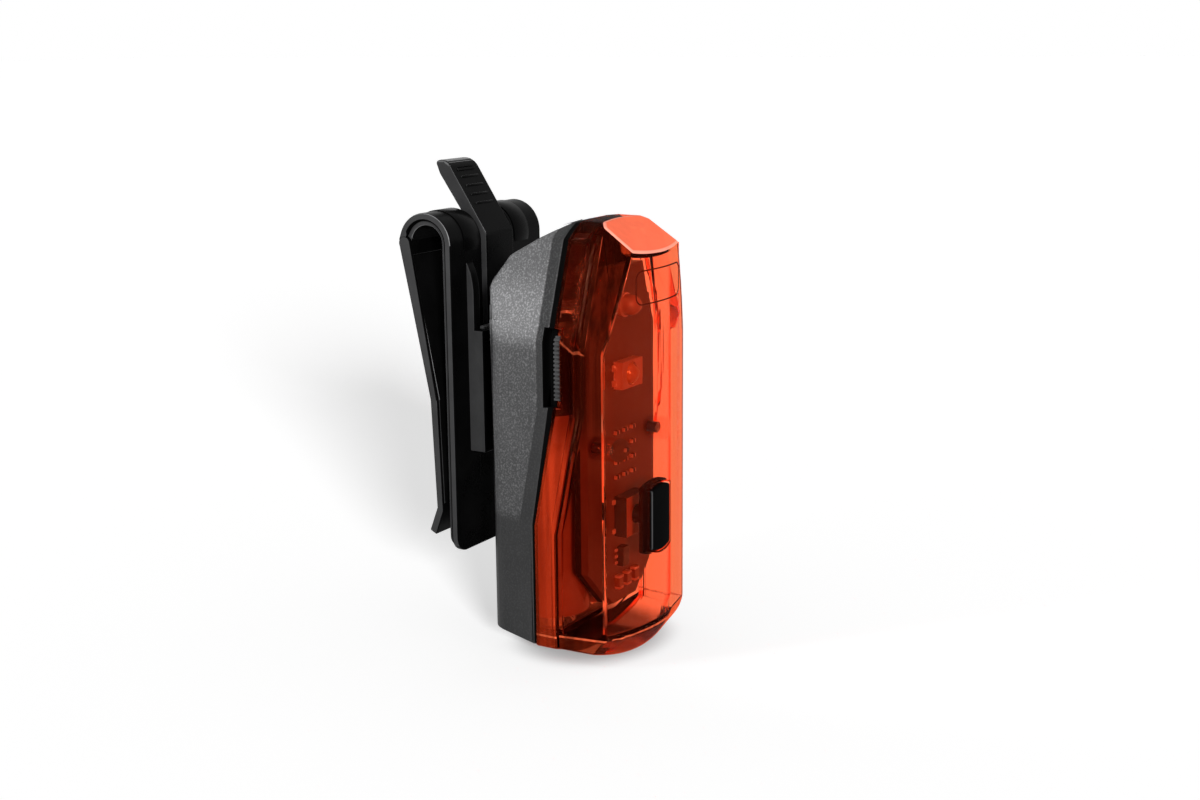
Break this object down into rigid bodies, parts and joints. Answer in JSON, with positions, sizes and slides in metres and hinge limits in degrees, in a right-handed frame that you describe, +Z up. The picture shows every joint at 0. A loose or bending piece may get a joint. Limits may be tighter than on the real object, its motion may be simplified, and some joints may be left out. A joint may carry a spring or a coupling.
{
  "type": "bike rear light",
  "caption": "Clip-on rear light for a bike: clear red lens over a board with emitters, grained housing for two small cells, slide-off spring clip with a release tab.",
  "frame": {"origin": "centre of the clip plate's rear face below the release tab, where a strap lies against it", "axes": "+Z up along the clip and the light, -Y out of the lens, +Y towards the leg of the clip, +X to the right when looking at the lens"},
  "size_m": [0.027, 0.0368, 0.0707],
  "materials": {
    "clip_black": "semi-gloss moulded",
    "liner_black": "soft, matt",
    "housing_grey": "fine grain",
    "seal_rubber": "matt",
    "cell_sleeve": "printed sleeve, plain",
    "contact_steel": "nickel plated",
    "lens_red": "clear red, polished",
    "strip_grey": "fine ribs",
    "frame_black": "moulded",
    "board_dark": "solder resist",
    "emitter_white": "moulded",
    "emitter_clear": "clear resin",
    "marker_clear": "clear resin",
    "chip_black": "moulded",
    "capacitor_tan": "ceramic",
    "button_rubber": "matt"
  },
  "bodies": {
    "clip": {"clip_plate": "clip_black", "plate_liner": "liner_black"},
    "leg": {"clip_leg": "clip_black", "leg_liner": "liner_black"},
    "tab": {"release_tab": "clip_black"},
    "light": {"rear_housing": "housing_grey", "seal_ring": "seal_rubber", "cell_left": "cell_sleeve", "cell_right": "cell_sleeve", "cell_terminals": "contact_steel", "contact_bridge": "contact_steel", "contact_springs": "contact_steel", "contact_plates": "contact_steel"},
    "lens_unit": {"lens": "lens_red", "pry_strip": "strip_grey", "inner_frame": "frame_black", "circuit_board": "board_dark", "board_screws": "contact_steel", "main_emitter": "emitter_white", "emitter_dome": "emitter_clear", "marker_emitter": "marker_clear", "driver_chip": "chip_black", "chip_pins": "contact_steel", "resistors": "chip_black", "capacitors": "capacitor_tan", "tact_switch": "chip_black"},
    "button": {"button_cap": "button_rubber", "switch_plunger": "frame_black"}
  },
  "joints": [
    {"name": "leg_flex", "type": "hinge", "parent": "clip", "child": "leg", "pos_m": [0, 0.0063, 0.0345], "axis": [1, 0, 0], "range_deg": [0, 10], "stiffness_Nm_per_rad": 3},
    {"name": "tab_flex", "type": "hinge", "parent": "clip", "child": "tab", "pos_m": [0, -0.0009, 0.0112], "axis": [-1, 0, 0], "range_deg": [0, 6], "stiffness_Nm_per_rad": 1},
    {"name": "light_slide", "type": "slide", "parent": "clip", "child": "light", "axis": [0, 0, 1], "range_m": [0, 0.027]},
    {"name": "lens_pull", "type": "slide", "parent": "light", "child": "lens_unit", "axis": [0, -1, 0], "range_m": [0, 0.03]},
    {"name": "button_press", "type": "slide", "parent": "lens_unit", "child": "button", "axis": [0, 1, 0], "range_m": [0, 0.0008], "stiffness_N_per_m": 600}
  ]
}
